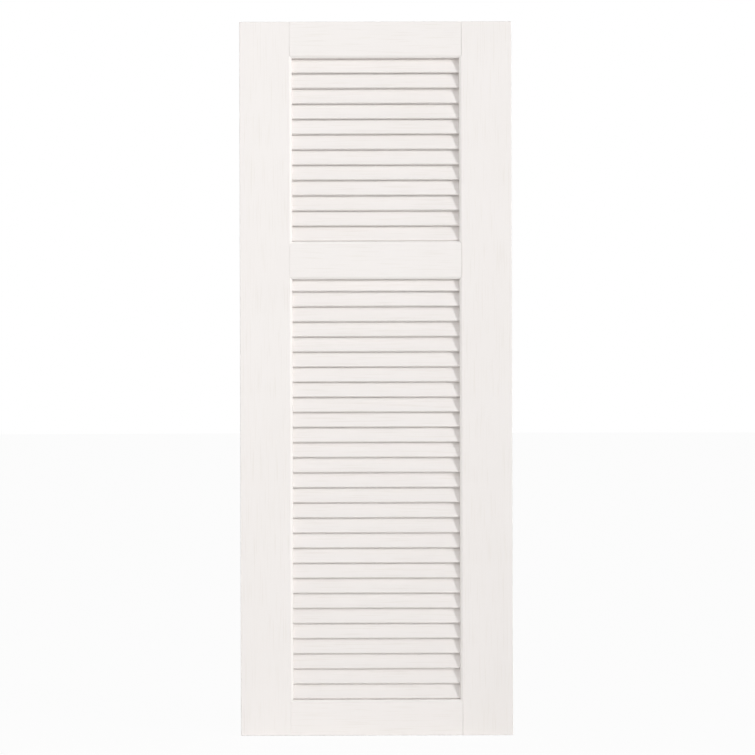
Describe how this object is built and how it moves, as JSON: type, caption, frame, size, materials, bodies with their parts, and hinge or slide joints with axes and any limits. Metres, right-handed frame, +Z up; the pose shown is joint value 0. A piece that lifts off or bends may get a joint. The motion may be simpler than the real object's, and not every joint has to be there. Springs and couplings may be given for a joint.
{
  "type": "louvred shutter panel",
  "caption": "Tall framed shutter panel with fixed slanting louvres in a short upper and a long lower opening, divided by a mid rail, painted off-white.",
  "frame": {"origin": "middle of the bottom edge, half way through the thickness", "axes": "+Z up the panel, -Y out of the front that shows the louvres' noses, +Y towards the wall, +X to the right seen from the front"},
  "size_m": [0.4572, 0.032, 1.2],
  "materials": {
    "stile_paint": "satin off-white paint over upright grain",
    "rail_paint": "satin off-white paint over level grain",
    "louvre_paint": "satin off-white paint on thin slats, grain along the slat",
    "support_paint": "satin off-white paint"
  },
  "bodies": {
    "root": {"bottom_rail": "rail_paint", "left_stile": "stile_paint", "lower_louvre_01": "louvre_paint", "lower_louvre_02": "louvre_paint", "lower_louvre_03": "louvre_paint", "lower_louvre_04": "louvre_paint", "lower_louvre_05": "louvre_paint", "lower_louvre_06": "louvre_paint", "lower_louvre_07": "louvre_paint", "lower_louvre_08": "louvre_paint", "lower_louvre_09": "louvre_paint", "lower_louvre_10": "louvre_paint", "lower_louvre_11": "louvre_paint", "lower_louvre_12": "louvre_paint", "lower_louvre_13": "louvre_paint", "lower_louvre_14": "louvre_paint", "lower_louvre_15": "louvre_paint", "lower_louvre_16": "louvre_paint", "lower_louvre_17": "louvre_paint", "lower_louvre_18": "louvre_paint", "lower_louvre_19": "louvre_paint", "lower_louvre_20": "louvre_paint", "lower_louvre_21": "louvre_paint", "lower_louvre_22": "louvre_paint", "lower_louvre_23": "louvre_paint", "lower_louvre_24": "louvre_paint", "lower_louvre_25": "louvre_paint", "lower_louvre_26": "louvre_paint", "lower_louvre_27": "louvre_paint", "lower_louvre_28": "louvre_paint", "lower_louvre_support": "support_paint", "mid_rail": "rail_paint", "right_stile": "stile_paint", "top_rail": "rail_paint", "upper_louvre_01": "louvre_paint", "upper_louvre_02": "louvre_paint", "upper_louvre_03": "louvre_paint", "upper_louvre_04": "louvre_paint", "upper_louvre_05": "louvre_paint", "upper_louvre_06": "louvre_paint", "upper_louvre_07": "louvre_paint", "upper_louvre_08": "louvre_paint", "upper_louvre_09": "louvre_paint", "upper_louvre_10": "louvre_paint", "upper_louvre_11": "louvre_paint", "upper_louvre_12": "louvre_paint", "upper_louvre_support": "support_paint"}
  },
  "joints": []
}
